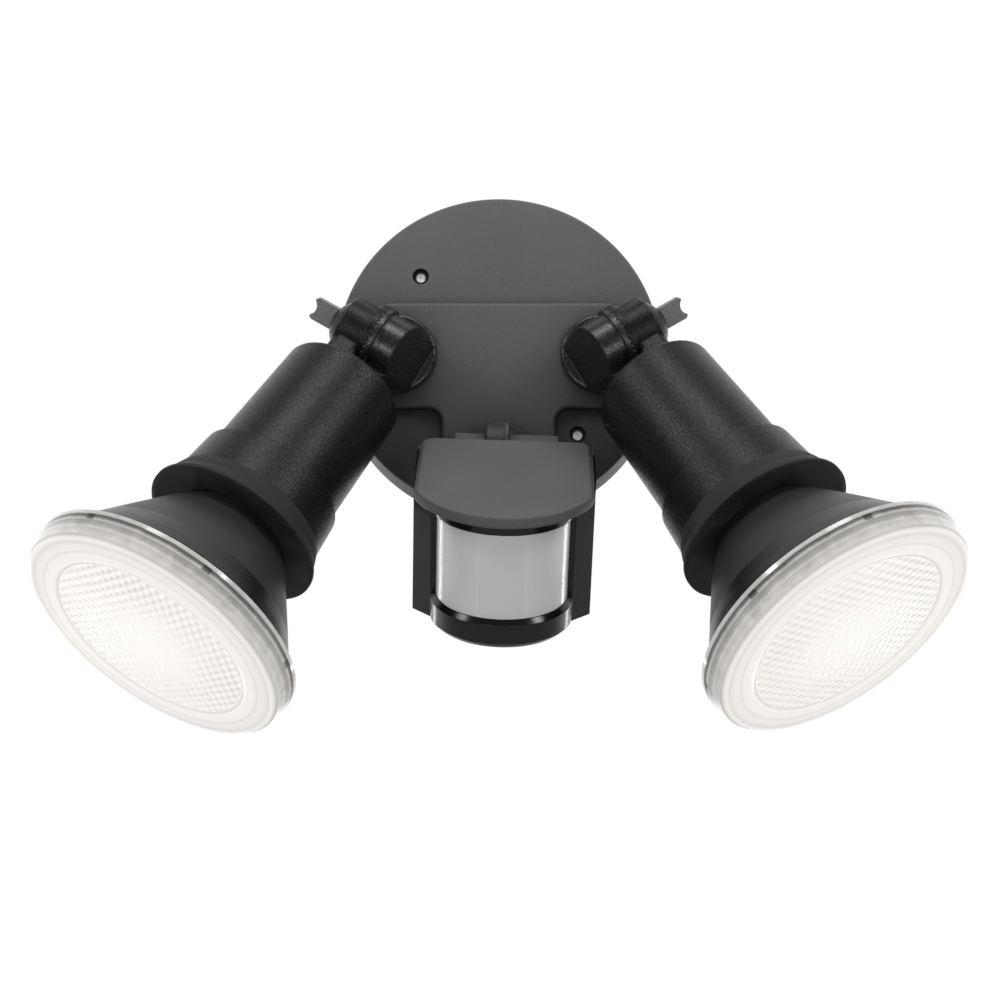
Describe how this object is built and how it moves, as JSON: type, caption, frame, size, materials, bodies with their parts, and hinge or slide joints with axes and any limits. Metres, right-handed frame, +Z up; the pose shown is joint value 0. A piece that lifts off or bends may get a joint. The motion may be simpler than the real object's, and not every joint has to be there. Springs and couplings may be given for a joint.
{
  "type": "motion sensor security light",
  "caption": "Wall light with twin adjustable spotlights on serrated clamp knuckles and a hooded motion sensor head below, on a round wall box.",
  "frame": {"origin": "centre of the round wall box, on its flat back face", "axes": "+Z up the wall, +Y into the wall, +X to the right when facing the light"},
  "size_m": [0.3833, 0.1821, 0.2636],
  "materials": {
    "coated_housing": "matte",
    "coated_base": "matte",
    "lamp_coating": "satin",
    "hood_plastic": "satin",
    "case_plastic": "gloss",
    "rubber_black": "matte",
    "clear_lens": "gloss",
    "window_milky": "satin",
    "bright_screw": "satin",
    "wing_screw": "satin",
    "zinc": "satin",
    "nickel": "satin",
    "brass": "satin",
    "socket_white": "gloss",
    "terminal_white": "satin",
    "insulator_dark": "gloss",
    "reflector_bright": "polished",
    "board_white": "satin",
    "board_green": "satin",
    "relay_blue": "satin",
    "knob_grey": "satin"
  },
  "bodies": {
    "mount": {"wall_base": "coated_base", "wall_gasket": "rubber_black", "cable_grommet": "rubber_black", "front_cover": "coated_housing", "cover_screws": "bright_screw", "terminal_block": "terminal_white", "terminal_screws": "brass"},
    "arm_left": {"elbow_left": "coated_housing", "elbow_seal_left": "rubber_black", "swivel_washer_left": "zinc", "swivel_nut_left": "zinc", "clamp_nut_left": "zinc"},
    "clamp_screw_left": {"clamp_screw_left": "wing_screw"},
    "holder_left": {"lampholder_left": "coated_housing", "skirt_seal_left": "rubber_black", "socket_body_left": "socket_white", "socket_shell_left": "brass", "socket_contact_left": "brass"},
    "lamp_left": {"lamp_body_left": "lamp_coating", "lamp_lens_left": "clear_lens", "lamp_reflector_left": "reflector_bright", "light_board_left": "board_white", "lamp_cap_left": "nickel", "lamp_tip_left": "insulator_dark"},
    "arm_right": {"elbow_right": "coated_housing", "elbow_seal_right": "rubber_black", "swivel_washer_right": "zinc", "swivel_nut_right": "zinc", "clamp_nut_right": "zinc"},
    "clamp_screw_right": {"clamp_screw_right": "wing_screw"},
    "holder_right": {"lampholder_right": "coated_housing", "skirt_seal_right": "rubber_black", "socket_body_right": "socket_white", "socket_shell_right": "brass", "socket_contact_right": "brass"},
    "lamp_right": {"lamp_body_right": "lamp_coating", "lamp_lens_right": "clear_lens", "lamp_reflector_right": "reflector_bright", "light_board_right": "board_white", "lamp_cap_right": "nickel", "lamp_tip_right": "insulator_dark"},
    "sensor_arm": {"sensor_swivel": "coated_housing", "sensor_washer": "zinc", "sensor_nut": "zinc"},
    "sensor_head": {"sensor_rear_case": "hood_plastic", "sensor_front_case": "case_plastic", "sensor_hood": "hood_plastic", "sensor_lens": "window_milky", "sensor_board": "board_green", "sensor_relay": "relay_blue", "pir_detector": "nickel", "light_cell": "insulator_dark", "pivot_screw": "bright_screw", "pivot_nut": "zinc", "case_screws": "bright_screw"},
    "time_knob": {"time_knob": "knob_grey"},
    "range_knob": {"range_knob": "knob_grey"},
    "dusk_knob": {"dusk_knob": "knob_grey"}
  },
  "joints": [
    {"name": "arm_swivel_left", "type": "hinge", "parent": "mount", "child": "arm_left", "pos_m": [-0.0485, -0.0255, -0.0026], "axis": [0, 1, 0], "range_deg": [-5, 105]},
    {"name": "lamp_tilt_left", "type": "hinge", "parent": "arm_left", "child": "holder_left", "pos_m": [-0.0505, -0.0473, -0.00606], "axis": [-0.866, 0, 0.5], "range_deg": [-18, 36]},
    {"name": "clamp_screw_turn_left", "type": "hinge", "parent": "arm_left", "child": "clamp_screw_left", "pos_m": [-0.0505, -0.0473, -0.00606], "axis": [-0.866, 0, 0.5], "continuous": true},
    {"name": "lamp_turn_left", "type": "hinge", "parent": "holder_left", "child": "lamp_left", "pos_m": [-0.05544, -0.0473, -0.00321], "axis": [-0.4528, -0.4242, -0.7842], "continuous": true},
    {"name": "arm_swivel_right", "type": "hinge", "parent": "mount", "child": "arm_right", "pos_m": [0.0485, -0.0255, -0.0026], "axis": [0, -1, 0], "range_deg": [-5, 105]},
    {"name": "lamp_tilt_right", "type": "hinge", "parent": "arm_right", "child": "holder_right", "pos_m": [0.05052, -0.0473, -0.00605], "axis": [-0.8634, 0, -0.5045], "range_deg": [-18, 36]},
    {"name": "clamp_screw_turn_right", "type": "hinge", "parent": "arm_right", "child": "clamp_screw_right", "pos_m": [0.05052, -0.0473, -0.00605], "axis": [0.8634, 0, 0.5045], "continuous": true},
    {"name": "lamp_turn_right", "type": "hinge", "parent": "holder_right", "child": "lamp_right", "pos_m": [0.05544, -0.0473, -0.00318], "axis": [0.4523, -0.4431, -0.774], "continuous": true},
    {"name": "sensor_pan", "type": "hinge", "parent": "mount", "child": "sensor_arm", "pos_m": [0, -0.0255, -0.052], "axis": [0, -1, 0], "range_deg": [-20, 20]},
    {"name": "sensor_tilt", "type": "hinge", "parent": "sensor_arm", "child": "sensor_head", "pos_m": [0.0036, -0.044, -0.05212], "axis": [0.9995, 0, -0.0332], "range_deg": [-18, 18]},
    {"name": "time_knob_turn", "type": "hinge", "parent": "sensor_head", "child": "time_knob", "pos_m": [-0.01564, -0.03696, -0.1194], "axis": [-0.0281, 0.5299, -0.8476], "range_deg": [-135, 135]},
    {"name": "range_knob_turn", "type": "hinge", "parent": "sensor_head", "child": "range_knob", "pos_m": [0.00135, -0.03696, -0.11997], "axis": [-0.0281, 0.5299, -0.8476], "range_deg": [-135, 135]},
    {"name": "dusk_knob_turn", "type": "hinge", "parent": "sensor_head", "child": "dusk_knob", "pos_m": [0.01834, -0.03696, -0.12053], "axis": [-0.0281, 0.5299, -0.8476], "range_deg": [-135, 135]}
  ]
}
